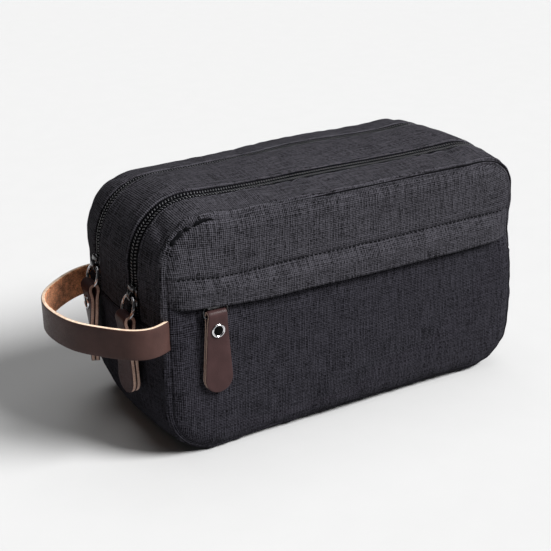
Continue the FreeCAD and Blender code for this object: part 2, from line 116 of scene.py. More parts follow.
# middles and radii of the seam outline's corners, from the lower left one
CORNERS = (
    (BOTTOM_RADIUS - END_X, LOW_Z, BOTTOM_RADIUS), (TOP_RADIUS - END_X, HIGH_Z, TOP_RADIUS),
    (END_X - TOP_RADIUS, HIGH_Z, TOP_RADIUS), (END_X - BOTTOM_RADIUS, LOW_Z, BOTTOM_RADIUS),
)
S_LEFT_SEAM = END_SEAM_Z - LOW_Z
S_RIGHT_SEAM = LAPS[4] + HIGH_Z - END_SEAM_Z
# where the zip gusset and the base band start and end along the outline
GUSSET_RUN = (S_LEFT_SEAM, S_RIGHT_SEAM)
BASE_RUN = (S_RIGHT_SEAM, PERIMETER + S_LEFT_SEAM)
SIDES = (("front", -1), ("rear", 1))


def outline(s):
    """Point and outward normal on the seam outline; s runs up the left end and over the top."""
    s = np.mod(np.asarray(s, float), PERIMETER)
    x, z, turn = (np.zeros_like(s) for _ in range(3))
    for lap in range(8):
        here = (s >= LAPS[lap]) & (s < LAPS[lap + 1])
        d = s[here] - LAPS[lap]
        # a straight lap goes on from the corner before it
        cx, cz, radius = CORNERS[(lap + 1) // 2 % 4]
        straight, round_end = (0, d) if lap % 2 else (d, 0 * d)
        angle = np.radians(270 + 90 * (lap // 2)) + round_end / radius
        x[here] = cx + radius * np.sin(angle) + straight * np.cos(angle)
        z[here] = cz + radius * np.cos(angle) - straight * np.sin(angle)
        turn[here] = angle
    return x, z, np.sin(turn), np.cos(turn)


def smooth(t):
    t = np.clip(t, 0, 1)
    return t * t * (3 - 2 * t)


def bump(distance, width):
    return np.exp(-((distance / width) ** 2))


def half_width(z):
    """Half the length of the bag's face at a height z."""
    z = np.asarray(z, float)
    up = np.clip(z - HIGH_Z, 0, TOP_RADIUS)
    down = np.clip(LOW_Z - z, 0, BOTTOM_RADIUS)
    at_top = END_X - TOP_RADIUS + np.sqrt(TOP_RADIUS ** 2 - up ** 2)
    at_bottom = END_X - BOTTOM_RADIUS + np.sqrt(BOTTOM_RADIUS ** 2 - down ** 2)
    return np.minimum(at_top, at_bottom)


def seam_distance(x, z):
    """How far a point of the face is from the seam round it."""
    middle = (SEAM_TOP + SEAM_BOTTOM) / 2
    half = (SEAM_TOP - SEAM_BOTTOM) / 2
    radius = np.where(z > middle, TOP_RADIUS, BOTTOM_RADIUS)
    over_x = np.abs(x) - END_X + radius
    over_z = np.abs(z - middle) - half + radius
    outside = np.hypot(np.maximum(over_x, 0), np.maximum(over_z, 0))
    return radius - outside - np.minimum(np.maximum(over_x, over_z), 0)


def unit(vectors):
    return vectors / np.linalg.norm(vectors, axis=-1, keepdims=True)


def waves(count, short, long, size):
    """Random smooth waves in space: directions and phases for soft()."""
    direction = unit(rng.normal(size=(count, 3)))
    length = rng.uniform(short, long, count)
    phase = rng.uniform(0, 2 * np.pi, count)
    return direction * (2 * np.pi / length)[:, None], phase, size / math.sqrt(count)


def soft(points, field):
    direction, phase, size = field
    return np.sin(points @ direction.T + phase).sum(1) * size


BULGES = [waves(7, 55, 120, 1.0) for _ in range(3)]
DIMPLES = waves(16, 16, 38, 0.24)
PUCKERS = waves(14, 5, 10, 1.0)
FRAY = waves(12, 2.2, 4.5, 1.0)


def drape(points):
    """Soft uneven shape shared by all the sewn pieces, so that they still meet at their seams."""
    x, y, z = points.T
    calm = 0.25 + 0.75 * smooth((x + 132) / 40)
    moved = points + np.stack([soft(points, field) * calm for field in BULGES], 1) * [0.4, 0.7, 0.4]
    inner = 1 - (y / SEAM_Y) ** 2
    # the shoulders are full in front, and the back of the top sags towards the closed end
    right = smooth((x - 88) / 34) * smooth((z - 112) / 30)
    left = smooth((-x - 84) / 34) * smooth((z - 112) / 30)
    push = right * (2.1 + 2.5 * bump(y + 50, 26)) + left * 3.8 * smooth((10 - y) / 50)
    moved[:, 0] += np.sign(x) * push * 0.72
    moved[:, 2] += push * 0.7
    # the open end leans in a little above its middle
    moved[:, 0] -= 4.0 * smooth((x - 60) / 70) * bump(z - 108, 27) * smooth((20 - y) / 40)
    sag = smooth((20 - x) / 110) * smooth((x + 128) / 34)
    moved[:, 2] -= 3.4 * sag * smooth((y + 6) / 50) * smooth((z - 120) / 30)
    # the rear right shoulder stands up
    moved[:, 2] += 1.7 * bump(x - 106, 22) * smooth((y - 10) / 40) * smooth((z - 138) / 15)
    # the closed end is fullest round the zips' lower ends
    moved[:, 0] -= 2.0 * smooth((-x - 118) / 10) * inner * bump(z - 100, 34)
    corner = smooth((x - 84) / 40) * smooth((46 - z) / 34) * smooth((40 - y) / 60)
    moved[:, 0] += 2.0 * corner
    moved[:, 2] += 1.8 * bump(x - 82, 30) * np.clip((34 - z) / 34, 0, 1) * smooth((20 - y) / 50)
    arch = np.clip(1 - (x / 104) ** 2, 0, 1) * np.clip((34 - z) / 34, 0, 1) ** 2
    moved[:, 2] += 2.4 * arch
    return moved


def rest_on_floor(points, gap=0.4):
    """Cloth that would sink into the floor lies flat on it."""
    z = points[:, 2]
    ease = 0.8
    lifted = gap + ease * np.log1p(np.exp(np.clip((z - gap) / ease, -30, 30)))
    points[:, 2] = np.where(z > gap + 8 * ease, z, lifted)
    return points


# ---- meshes

def add_object(name, data):
    thing = bpy.data.objects.new(name, data)
    bpy.context.scene.collection.objects.link(thing)
    return thing


def mesh_piece(name, points, faces, uvs=None, indices=None, materials=()):
    """A smooth mesh object from points in millimetres; uvs are in millimetres of cloth."""
    mesh = bpy.data.meshes.new(name)
    if isinstance(faces, np.ndarray):
        faces = faces.tolist()
    mesh.from_pydata((np.asarray(points) * MM).tolist(), [], faces)
    for material in materials:
        mesh.materials.append(material)
    if uvs is not None:
        corners = np.zeros(len(mesh.loops), int)
        mesh.loops.foreach_get("vertex_index", corners)
        layer = mesh.uv_layers.new(name="cloth")
        layer.data.foreach_set("uv", (np.asarray(uvs)[corners] * UV_SCALE).ravel())
    if indices is not None:
        mesh.polygons.foreach_set("material_index", indices)
    mesh.polygons.foreach_set("use_smooth", np.full(len(mesh.polygons), True))
    mesh.update()
    return add_object(name, mesh)


def grid_faces(rows, columns, wrap_rows=False, wrap_columns=False, flip=False):
    """Quads of a grid of points stored row by row."""
    row = np.arange(rows if wrap_rows else rows - 1)
    column = np.arange(columns if wrap_columns else columns - 1)
    r, c = np.meshgrid(row, column, indexing="ij")
    r2, c2 = (r + 1) % rows, (c + 1) % columns
    quads = np.stack([r * columns + c, r * columns + c2, r2 * columns + c2, r2 * columns + c], -1)
    quads = quads.reshape(-1, 4)
    return quads[:, ::-1] if flip else quads


def capped_faces(rows, columns, first=0):
    """Faces of a tube stored ring by ring from point first, with a polygon over each end."""
    last = first + (rows - 1) * columns
    sides = (grid_faces(rows, columns, wrap_columns=True) + first).tolist()
    return sides + [list(range(first, first + columns))[::-1], list(range(last, last + columns))]


def thicken(piece, thickness=CANVAS):
    """Gives a skin its cloth's thickness, inwards."""
    solid = piece.modifiers.new("cloth_thickness", "SOLIDIFY")
    solid.thickness = thickness * MM
    solid.offset = -1
    solid.use_even_offset = False
    return piece


def circle(sides):
    turn = np.linspace(0, 2 * np.pi, sides, endpoint=False)
    return np.cos(turn), np.sin(turn)


def tube_rings(centres, radius, sides, around=None):
    """Points of a round tube along a line of centres; a line closed in a plane goes around its normal."""
    centres = np.asarray(centres, float)
    if around is None:
        along = unit(np.gradient(centres, axis=0))
        around = np.where(np.abs(along[:, 1:2]) > 0.9, [[1.0, 0, 0]], [[0, 1.0, 0]])
    else:
        along = unit(np.roll(centres, -1, 0) - np.roll(centres, 1, 0))
    across = unit(np.cross(along, around))
    cosine, sine = circle(sides)
    ring = cosine[:, None] * across[:, None] + sine[:, None] * np.cross(along, across)[:, None]
    return centres[:, None] + ring * np.broadcast_to(radius, len(centres))[:, None, None]


def tube(name, centres, radius, sides, material, closed=False, around=None):
    rings = tube_rings(centres, radius, sides, around)
    if closed:
        faces = grid_faces(len(rings), sides, wrap_rows=True, wrap_columns=True)
    else:
        faces = capped_faces(len(rings), sides)
    return mesh_piece(name, rings.reshape(-1, 3), faces, materials=[material])


def run_length(points, axis=0):
    """Distance travelled over a line or a grid of points, along one of its axes."""
    steps = np.linalg.norm(np.diff(points, axis=axis), axis=-1)
    start = np.zeros_like(np.take(steps, [0], axis=axis))
    return np.concatenate([start, np.cumsum(steps, axis=axis)], axis=axis)


def evenly(points, step):
    """Points at even spacing along the straight runs between the given ones."""
    travelled = run_length(points)
    at = np.linspace(0, travelled[-1], max(2, round(travelled[-1] / step) + 1))
    return np.stack([np.interp(at, travelled, points[:, k]) for k in range(3)], 1)


def smooth_line(points, step):
    """Points at even spacing along a smooth line through the given ones."""
    points = np.asarray(points, float)
    padded = np.vstack([2 * points[0] - points[1], points, 2 * points[-1] - points[-2]])
    t = np.linspace(0, 1, 24, endpoint=False)[:, None]
    fine = []
    for i in range(1, len(padded) - 2):
        p0, p1, p2, p3 = padded[i - 1:i + 3]
        fine.append(0.5 * (
            2 * p1 + (p2 - p0) * t + (2 * p0 - 5 * p1 + 4 * p2 - p3) * t ** 2
            + (3 * p1 - p0 - 3 * p2 + p3) * t ** 3
        ))
    return evenly(np.vstack([*fine, points[-1:]]), step)


# ---- materials

class Shader:
    """A material under construction, with short names for the nodes it needs."""

    def __init__(self, name, roughness, **sockets):
        self.material = bpy.data.materials.new(name)
        self.material.use_nodes = True
        self.nodes = self.material.node_tree.nodes
        self.links = self.material.node_tree.links
        self.bsdf = self.nodes["Principled BSDF"]
        self.bsdf.inputs["Roughness"].default_value = roughness
        for socket, value in sockets.items():
            self.bsdf.inputs[socket.replace("_", " ")].default_value = value

    def link(self, source, target):
        self.links.new(source, target)

    def node(self, kind, source, **values):
        """A new node with the given inputs, fed by a source through its vector input."""
        node = self.nodes.new("ShaderNode" + kind)
        for socket, value in values.items():
            node.inputs[socket].default_value = value
        self.link(source, node.inputs["Vector"])
        return node

    def uv(self):
        node = self.nodes.new("ShaderNodeUVMap")
        node.uv_map = "cloth"
        return node.outputs["UV"]

    def place(self):
        return self.nodes.new("ShaderNodeTexCoord").outputs["Object"]

    def scaled(self, source, scale):
        return self.node("Mapping", source, Scale=scale).outputs["Vector"]

    def noise(self, source, scale, detail=2.0, rough=0.5):
        return self.node("TexNoise", source, Scale=scale, Detail=detail, Roughness=rough).outputs["Fac"]

    def cells(self, source, scale):
        return self.node("TexVoronoi", source, Scale=scale).outputs["Distance"]

    def math(self, operation, *terms):
        node = self.nodes.new("ShaderNodeMath")
        node.operation = operation
        for socket, value in zip(node.inputs, terms):
            if isinstance(value, (int, float)):
                socket.default_value = value
            else:
                self.link(value, socket)
        return node.outputs[0]

    def add(self, first, *others):
        for other in others:
            first = self.math("ADD", first, other)
        return first

    def times(self, first, second):
        return self.math("MULTIPLY", first, second)

    def threads(self, cloth, count):
        """Height of the warp and of the weft of a weave, count threads to a UV unit."""
        node = self.nodes.new("ShaderNodeSeparateXYZ")
        self.link(cloth, node.inputs[0])
        return [self.math("SINE", self.times(place, math.pi * count)) for place in node.outputs[:2]]

    def spread(self, source, low_in, high_in, low_out=0.0, high_out=1.0):
        node = self.nodes.new("ShaderNodeMapRange")
        self.link(source, node.inputs["Value"])
        values = (low_in, high_in, low_out, high_out)
        for socket, value in zip(("From Min", "From Max", "To Min", "To Max"), values):
            node.inputs[socket].default_value = value
        return node.outputs["Result"]

    def mix(self, factor, first, second):
        node = self.nodes.new("ShaderNodeMix")
        node.data_type = "RGBA"
        self.link(factor, node.inputs["Factor"])
        for socket, value in ((node.inputs[6], first), (node.inputs[7], second)):
            if isinstance(value, tuple):
                socket.default_value = (*value, 1)
            else:
                self.link(value, socket)
        return node.outputs[2]

    def finish(self, colour, rough=None, height=None, height_mm=0.0):
        """Joins what was made to the surface and gives the finished material."""
        self.link(colour, self.bsdf.inputs["Base Color"])
        if rough:
            self.link(rough, self.bsdf.inputs["Roughness"])
        if height:
            node = self.nodes.new("ShaderNodeBump")
            node.inputs["Distance"].default_value = height_mm * MM
            node.inputs["Strength"].default_value = 1.0
            self.link(height, node.inputs["Height"])
            self.link(node.outputs["Normal"], self.bsdf.inputs["Normal"])
        return self.material


CANVAS_THREADS = 175     # threads in one UV unit, a thread every 0.57 mm
LINING_THREADS = 275
TAPE_THREADS = 200


def canvas_material(name, dark, light, upright_share, streaks):
    """Heathered linen-look canvas: pale slub threads both ways over a dark plain weave."""
    shader = Shader(name, 0.95, Specular_IOR_Level=0.03)
    cloth = shader.uv()

    def slubs(scale_x, scale_y, *limits):
        return shader.spread(shader.noise(shader.scaled(cloth, (scale_x, scale_y, 1)), 1.0, 1.0), *limits)

    upright = shader.times(slubs(190, 48, 0.33, 0.65), upright_share)
    level = shader.times(slubs(48, 190, 0.33, 0.65), 1 - upright_share)
    fine = shader.add(upright, level)
    long_upright = slubs(120, 6, 0.36, 0.66, -0.16 * streaks, 0.26 * streaks)
    long_level = slubs(6, 120, 0.36, 0.66, -0.12 * streaks, 0.20 * streaks)
    cloudy = shader.spread(shader.noise(cloth, 1.6), 0.3, 0.7, -0.05, 0.05)
    height = shader.add(*shader.threads(cloth, CANVAS_THREADS))
    factor = shader.add(fine, shader.times(height, 0.22), long_upright, long_level, cloudy)
    relief = shader.add(height, shader.times(fine, 1.3))
    return shader.finish(shader.mix(factor, dark, light), height=relief, height_mm=0.12)


def lining_material():
    shader = Shader("black_lining", 0.62, Specular_IOR_Level=0.35, Sheen_Weight=0.08)
    cloth = shader.uv()
    height = shader.times(*shader.threads(cloth, LINING_THREADS))
    fold = shader.noise(cloth, 3.0, 3.0)
    colour = shader.mix(shader.spread(fold, 0.3, 0.7), (0.009, 0.009, 0.012), (0.018, 0.018, 0.021))
    return shader.finish(colour, height=shader.add(height, shader.times(fold, 6.0)), height_mm=0.06)


def tape_material():
    shader = Shader("zip_tape", 0.95, Specular_IOR_Level=0.03)
    cloth = shader.uv()
    grain = shader.spread(shader.noise(cloth, 60.0), 0.3, 0.7)
    colour = shader.mix(grain, (0.001, 0.001, 0.0015), (0.0035, 0.0035, 0.0045))
    height = shader.times(*shader.threads(cloth, TAPE_THREADS))
    return shader.finish(colour, height=height, height_mm=0.1)


def thread_material(name, dark, light):
    shader = Shader(name, 0.9, Specular_IOR_Level=0.05)
    twist = shader.noise(shader.place(), 900.0)
    return shader.finish(shader.mix(twist, dark, light), height=twist, height_mm=0.05)


def coil_material(name, dark, light, gloss):
    """Hard black plastic or enamel."""
    shader = Shader(name, 0.34, Specular_IOR_Level=gloss)
    grain = shader.noise(shader.place(), 700.0)
    return shader.finish(shader.mix(grain, dark, light), shader.spread(grain, 0.3, 0.7, 0.28, 0.4))


def metal_material(name, dark, light, rough_low, rough_high):
    shader = Shader(name, rough_low, Metallic=1.0)
    brushed = shader.noise(shader.scaled(shader.place(), (300, 300, 2600)), 1.0, 3.0)
    spots = shader.noise(shader.place(), 420.0)
    colour = shader.mix(shader.spread(spots, 0.35, 0.65), dark, light)
    rough = shader.spread(brushed, 0.3, 0.7, rough_low, rough_high)
    return shader.finish(colour, rough, height=brushed, height_mm=0.01)


def leather_material(name, dark, light):
    """Smooth finished leather: fine pores, soft mottling and a low waxy gloss."""
    shader = Shader(name, 0.42, Specular_IOR_Level=0.12)
    place = shader.place()
    pores = shader.cells(place, 2200.0)
    mottle = shader.noise(place, 75.0, 4.0, 0.6)
    fine = shader.noise(place, 900.0, 2.0)
    colour = shader.mix(shader.spread(mottle, 0.3, 0.7), dark, light)
    rough = shader.spread(fine, 0.3, 0.7, 0.35, 0.52)
    return shader.finish(colour, rough, shader.add(pores, shader.times(mottle, 1.5)), 0.06)


def raw_leather_material(name, dark, light, nap_mm):
    """Cut edges and the napped inner side: fibrous and matt."""
    shader = Shader(name, 0.95, Specular_IOR_Level=0.15, Sheen_Weight=0.15)
    place = shader.place()
    fibres = shader.noise(place, 1300.0, 4.0, 0.7)
    patches = shader.noise(place, 260.0, 3.0, 0.6)
    both = shader.add(shader.times(fibres, 0.6), shader.times(patches, 0.4))
    colour = shader.mix(shader.spread(both, 0.36, 0.62), dark, light)
    return shader.finish(colour, height=both, height_mm=nap_mm)


CANVAS_TOP = canvas_material("canvas_upper", (0.0012, 0.0012, 0.0015), (0.0520, 0.0500, 0.0585), 0.6, 1.25)
# the second canvas is the same canvas made darker: painted shade for the pocket, the base band and the rear
# face, which take less light
CANVAS_SHADED = canvas_material("canvas_painted_shade", (0.0010, 0.0010, 0.0014), (0.0310, 0.0297, 0.0370), 0.5, 1.1)
LINING = lining_material()
TAPE = tape_material()
# this black thread colour is used for the stitches, and it is also laid in the seam valleys as painted shade
THREAD_AND_SEAM_SHADE = thread_material("stitching", (0.001, 0.001, 0.0015), (0.004, 0.004, 0.005))
COIL = coil_material("zip_coil", (0.012, 0.012, 0.014), (0.060, 0.060, 0.066), 0.9)
SLIDER = metal_material("black_nickel", (0.03, 0.03, 0.032), (0.11, 0.11, 0.114), 0.14, 0.3)
GUNMETAL = metal_material("gunmetal", (0.22, 0.22, 0.23), (0.50, 0.50, 0.52), 0.14, 0.3)
CHROME = metal_material("polished_rivet", (0.62, 0.62, 0.64), (0.8, 0.8, 0.81), 0.06, 0.16)
LEATHER = leather_material("brown_leather", (0.039, 0.0195, 0.0170), (0.058, 0.0295, 0.0255))
PULL_LEATHER = leather_material("pull_leather", (0.027, 0.0132, 0.0132), (0.042, 0.0210, 0.0210))
RAW_EDGE = raw_leather_material("raw_edge", (0.46, 0.31, 0.21), (0.76, 0.60, 0.46), 0.12)
PULL_EDGE = raw_leather_material("pull_edge", (0.28, 0.165, 0.13), (0.54, 0.385, 0.31), 0.12)
SUEDE = raw_leather_material("suede_side", (0.13, 0.038, 0.014), (0.98, 0.42, 0.20), 0.3)
DOME = coil_material("rivet_centre", (0.001, 0.001, 0.001), (0.002, 0.002, 0.002), 0.03)


# ---- how pieces move

def with_bag(piece, slot_name, *nodes):
    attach(piece, "bag")
    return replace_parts(piece, *nodes) if nodes else piece


def with_lid(piece, nodes=()):
    """Bakes a piece's place into its mesh and hides the nodes it stands in for."""
    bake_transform(piece)
    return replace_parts(piece, *nodes) if nodes else piece


# ---- cloth bands round the bag

def crown_at(y):
    radius = (SEAM_Y ** 2 + CROWN ** 2) / (2 * CROWN)
    return np.sqrt(radius ** 2 - np.minimum(np.abs(y), SEAM_Y) ** 2) - (radius - CROWN)


def seam_relief(distance, pucker, fullness=1.0):
    """The cloth rolls over at a seam, with the soft ridge of the seam allowance beside it."""
    ridge = (0.7 + 0.35 * pucker) * fullness
    return -2.6 * bump(distance, 0.75) + ridge * bump(distance - 1.7, 1.1)


def zip_relief(distance):
    """The cloth's folded edge beside a zip, and the row of stitches that holds it."""
    edge = -0.7 * bump(distance, 0.4)
    return edge + 0.15 * bump(distance - 1.0, 0.8) - 0.3 * bump(distance - ZIP_STITCHES, 0.5)


def band_points(s, y, offset):
    """Points of a band at places s along the outline and y across it, offset outwards."""
    x, z, nx, nz = outline(s)
    out = crown_at(y) + offset
    return np.stack([x + nx * out, y, z + nz * out], -1)


def spaced_columns(start, end, step):
    """Even places from start up to end, with extra ones close to both."""
    extra = np.array([0.25, 0.5, 0.8, 1.1, 1.5, 2.0, 2.6, 3.3, 4.1, 5.0])
    even = np.linspace(start, end, max(2, int((end - start) / step) + 1))
    places = np.unique(np.round(np.r_[even, start + extra, end - extra], 4))
    return places[np.r_[True, np.diff(places) > 0.12]]


def band(name, run, edges, relief, material, step=2.2, offset=0.0):
    """A strip of cloth round the bag, along a run of the outline and between two edges.

    relief(s, y, points) gives its height at each point.
    """
    s = np.linspace(*run, len(np.arange(run[0], run[1] + step / 2, step)))
    y = spaced_columns(*edges, 2.2)
    grid_s, grid_y = (g.ravel() for g in np.meshgrid(s, y, indexing="ij"))
    points = band_points(grid_s, grid_y, 0.0)
    height = relief(grid_s, grid_y, points) + offset
    across = grid_y[0] + run_length(np.stack([grid_y, height], 1).reshape(len(s), len(y), 2), 1)
    points = rest_on_floor(drape(band_points(grid_s, grid_y, height)))
    faces = grid_faces(len(s), len(y))
    return mesh_piece(name, points, faces, np.stack([across.ravel(), grid_s], 1), materials=[material])


CREASES = {
    # s and y where a crease starts and ends, its width and its height; a negative one is a dent
    "front": [
        (215, -55, 200, -34, 2.6, -0.55), (232, -54, 214, -36, 2.2, -0.4), (270, -55, 262, -38, 2.4, 0.35),
        (318, -55, 306, -34, 2.6, -0.5), (328, -54, 318, -36, 1.8, -0.45), (338, -53, 330, -35, 2.0, 0.4),
        (352, -55, 344, -36, 2.4, -0.5), (104, -55, 112, -36, 3.0, -0.5), (122, -56, 134, -40, 2.4, 0.4),
        (88, -54, 86, -36, 3.0, -0.4), (176, -55, 168, -40, 2.8, 0.35),
    ],
    "centre": [
        (112, -13, 132, -14, 1.6, 0.55), (96, -10, 112, -13, 1.8, 0.6), (250, 10, 262, 16, 3.0, -0.4),
        (92, 6, 108, 10, 3.5, -0.5), (330, -18, 322, -4, 2.6, -0.4), (180, 18, 190, 8, 3.0, -0.35),
    ],
    "rear": [
        (120, 55, 128, 38, 2.6, -0.5), (210, 55, 202, 36, 2.6, -0.45), (300, 54, 306, 38, 2.4, 0.4),
        (340, 55, 332, 38, 2.4, -0.5), (96, 54, 98, 38, 2.8, -0.4),
    ],
    "base": [
        (430, -54, 446, -30, 3.0, -0.5), (470, -20, 476, 14, 4.0, -0.6), (560, 10, 540, 30, 4.0, 0.5),
        (700, -40, 690, -10, 3.4, -0.5), (726, -56, 722, -34, 2.6, -0.45), (706, -52, 716, -22, 3.0, 0.45),
    ],
}


def creases(u, v, group):
    """Height of the listed creases of one strip."""
    height = np.zeros_like(u)
    for u0, v0, u1, v1, width, size in CREASES[group]:
        along = np.array([u1 - u0, v1 - v0], float)
        length = np.hypot(*along)
        along /= length
        forward = (u - u0) * along[0] + (v - v0) * along[1]
        sideways = -(u - u0) * along[1] + (v - v0) * along[0]
        sideways = sideways + 0.06 * forward * np.sin(forward / length * 3.0)
        inside = smooth((forward + 5) / 8) * smooth((length + 5 - forward) / 8)
        height += size * inside * bump(sideways, width)
    return height


def gusset_relief(group, zip_edges):
    def relief(s, y, points):
        height = soft(points, DIMPLES) + 1.7 * creases(s, y, group)
        pucker = soft(points, PUCKERS)
        if group == "front":
            torn = gape(points[:, 0], points[:, 2])
            from_seam = SEAM_Y - np.abs(y)
            height += 0.06 * torn * bump(from_seam - 1.2, 1.6) * (1 + 0.8 * pucker)
            height += 0.17 * torn * bump(from_seam, 0.7) * (1 + 0.9 * soft(points, FRAY))
        height += seam_relief(SEAM_Y - np.abs(y), pucker, 0.5 if group == "rear" else 1.0)
        for edge in zip_edges:
            height += zip_relief(np.abs(y - edge)) + 0.14 * pucker * bump(np.abs(y - edge) - 2.0, 2.2)
        return height
    return relief


def base_relief(s, y, points):
    pucker = soft(points, PUCKERS)
    height = soft(points, DIMPLES) + creases(s, y, "base")
    ends = np.minimum(np.abs(s - S_RIGHT_SEAM), np.abs(s - PERIMETER - S_LEFT_SEAM))
    height = height - 0.8 * bump(ends, 0.8) + 0.4 * bump(ends - 2.0, 1.2)
    return height + seam_relief(SEAM_Y - np.abs(y), pucker)


def end_seam_relief(inner):
    """Adds the valley where a zip gusset is sewn to the base band."""
    def relief(s, y, points):
        ends = np.minimum(np.abs(s - S_LEFT_SEAM), np.abs(s - S_RIGHT_SEAM))
        return inner(s, y, points) - 0.8 * bump(ends, 0.8)
    return relief


def cloth_bands():
    centre_edge = ZIP_Y - GUSSET_EDGE
    outer_edge = ZIP_Y + GUSSET_EDGE
    base = thicken(band("base_band_canvas", BASE_RUN, (-SEAM_Y, SEAM_Y), base_relief, CANVAS_SHADED))
    with_bag(base, "canvas", "base_band")
    edges = (-centre_edge, centre_edge)
    relief = end_seam_relief(gusset_relief("centre", edges))
    centre = thicken(band("centre_gusset_canvas", GUSSET_RUN, edges, relief, CANVAS_TOP))
    with_bag(centre, "canvas", "centre_gusset")
    for name, side in SIDES:
        relief = end_seam_relief(gusset_relief(name, (side * outer_edge,)))
        edges = sorted((side * outer_edge, side * SEAM_Y))
        strip = thicken(band(name + "_gusset_canvas", GUSSET_RUN, edges, relief, CANVAS_TOP, step=1.3))
        with_lid(strip, (name + "_gusset_top", name + "_gusset_ends"))


# ---- front and rear faces

GAPE = 6.0               # how deep the seam is pulled open at its worst
POCKET_LINING_DEPTH = 4.6    # how much further in the front lining lies behind the pocket
REAR_LINING_DEPTH = 0.4


def gape(x, z):
    """The front left shoulder seam is pulled open: how deep, along its length."""
    turn = np.degrees(np.arctan2(z - HIGH_Z, -END_X + TOP_RADIUS - x))
    ragged = 1 + 0.35 * np.sin(turn * 0.9) * np.sin(turn * 0.41 + 1)
    return GAPE * smooth((turn - 14) / 30) * smooth((96 - turn) / 22) * ragged * (x < 0) * (z > HIGH_Z - 2)


def face_lift(x, z, bulge):
    """How far a face's cloth stands out from the seam plane."""
    d = seam_distance(x, z)
    edge = -2.4 + 3.0 * smooth((d - 0.9) / 2.6) + 1.4 * smooth((d - 2.5) / 6)
    return edge + bulge * (1 - np.exp(-d / 24)) - 0.5 * gape(x, z) * bump(d, 1.5)


def face_rows(z_from, z_to, step=1.6, fine_at=None):
    """Heights from z_from down to z_to, closer together near the seam and round fine_at."""
    s = np.arange(0, LAPS[2] + step, step)
    s = np.clip(s, 0, LAPS[2] - 1e-6)
    below = PERIMETER - np.arange(0, BOTTOM_ARC + step, step)
    below = np.clip(below, LAPS[7] + 1e-6, PERIMETER - 1e-6)
    heights = np.r_[outline(s)[1], outline(below)[1], SEAM_TOP, SEAM_BOTTOM]
    if fine_at is not None:
        near = np.array([0, 0.3, 0.6, 0.9, 1.3, 1.8, 2.4])
        heights = np.r_[heights, fine_at - near, fine_at + near]
    heights = np.unique(np.round(np.r_[heights, z_from, z_to], 4))[::-1]
    keep = (heights <= z_from + 1e-6) & (heights >= z_to - 1e-6)
    heights = heights[keep]
    return heights[np.r_[True, np.abs(np.diff(heights)) > 0.05]]


def face_columns(count):
    t = np.linspace(-1, 1, count)
    return 0.55 * np.sin(t * np.pi / 2) + 0.45 * t


def face_grid(name, side, rows, lift, material, columns=170, extra_rows=(), rise=None):
    """A face of the bag, rows from the top down; lift(x, z) is its height over the seam plane.

    extra_rows are (height, how much less lift) pairs that turn the lower hem under.
    """
    u = face_columns(columns)
    heights = np.r_[rows, [row[0] for row in extra_rows]]
    less = np.r_[np.zeros(len(rows)), [row[1] for row in extra_rows]]
    hem_z = rows[-1]
    z = np.repeat(heights, columns)
    x = np.tile(u, len(heights)) * half_width(z)
    measured_z = np.where(np.repeat(less, columns) > 0, hem_z, z)
    out = lift(x, measured_z) - np.repeat(less, columns)
    if rise is not None:
        z = z + rise(x, measured_z)
    points = np.stack([x, side * (SEAM_Y + out), z], 1)
    middle = points.reshape(len(heights), columns, 3)[:, columns // 2, 1:]
    uvs = np.stack([x, -np.repeat(run_length(middle, 0), columns)], 1)
    points = rest_on_floor(drape(points))
    faces = grid_faces(len(heights), columns, flip=side > 0)
    return mesh_piece(name, points, faces, uvs, materials=[material])


def hem(z, radius, tuck):
    """Rows that roll an edge under and run back up behind it."""
    turn = np.radians(np.linspace(20, 180, 8))
    rolled = [(z - radius * math.sin(a), radius * (1 - math.cos(a))) for a in turn]
    return rolled + [(z + tuck * part, 2 * radius) for part in (0.2, 0.5, 1.0)]


STITCH_Z = FOLD_Z - 2.0


def hem_rise(x, z):
    """The flap's hem and its stitching climb a little towards the seams at both ends."""
    ends = 3.4 * smooth((-x - 86) / 44)
    lifted = 2.2 * bump(x + 98, 24) * smooth((STITCH_Z - 3 - z) / 12)
    return ends * smooth((STITCH_Z + 18 - z) / 24) + lifted


def flap_shape(x, z):
    """Extra height of the flap: a stitched groove, then a hem that stands proud of the pocket."""
    ends = smooth((END_X - 1 - np.abs(x)) / 18)
    proud = 4.2 * smooth((STITCH_Z + 1 - z) / 10) * ends
    groove = -0.35 * bump(z - STITCH_Z, 1.0) * smooth((END_X - np.abs(x)) / 8)
    groove += 0.5 * bump(z - STITCH_Z - 3.2, 2.2)
    return proud + groove


def on_seam_plane(x, z, side):
    return np.stack([x, 0 * x + side * SEAM_Y, z], 1)


def dents(x, z, side, size):
    """Soft dents all over a face, and puckers along the seam round it."""
    points = on_seam_plane(x, z, side)
    near_seam = bump(seam_distance(x, z) - 1.5, 3.0)
    return size * soft(points, DIMPLES) + 0.35 * soft(points, PUCKERS) * near_seam


def stitch_puckers(x, z):
    """Puckers along the flap's stitching."""
    return 0.12 * soft(on_seam_plane(x, z, -1), PUCKERS) * bump(z - STITCH_Z, 3.0)


def front_faces():
    def upper_lift(x, z):
        return face_lift(x, z, 2.4) + flap_shape(x, z) + dents(x, z, -1, 1.0) + stitch_puckers(x, z)

    hem_z = FLAP_EDGE_Z + 0.9
    upper = face_grid(
        "front_upper_canvas", -1, face_rows(SEAM_TOP, hem_z, fine_at=STITCH_Z), upper_lift, CANVAS_TOP,
        extra_rows=hem(hem_z, 0.7, 2.5), rise=hem_rise,
    )
    thicken(upper, FLAP_CLOTH)
    with_lid(upper, ("front_top_panel", "pocket_flap"))

    def pocket_lift(x, z):
        tuck = -1.6 * smooth((z - 82) / 16) * smooth((END_X - np.abs(x)) / 16)
        return face_lift(x, z, 2.2) + dents(x, z, -1, 0.8) + tuck

    pocket = face_grid(
        "pocket_canvas", -1, face_rows(POCKET_TOP_Z, SEAM_BOTTOM), pocket_lift, CANVAS_SHADED,
        rise=lambda x, z: hem_rise(x, z) * smooth((z - 80) / 18),
    )
    thicken(pocket)
    with_bag(pocket, "canvas", "pocket_panel")


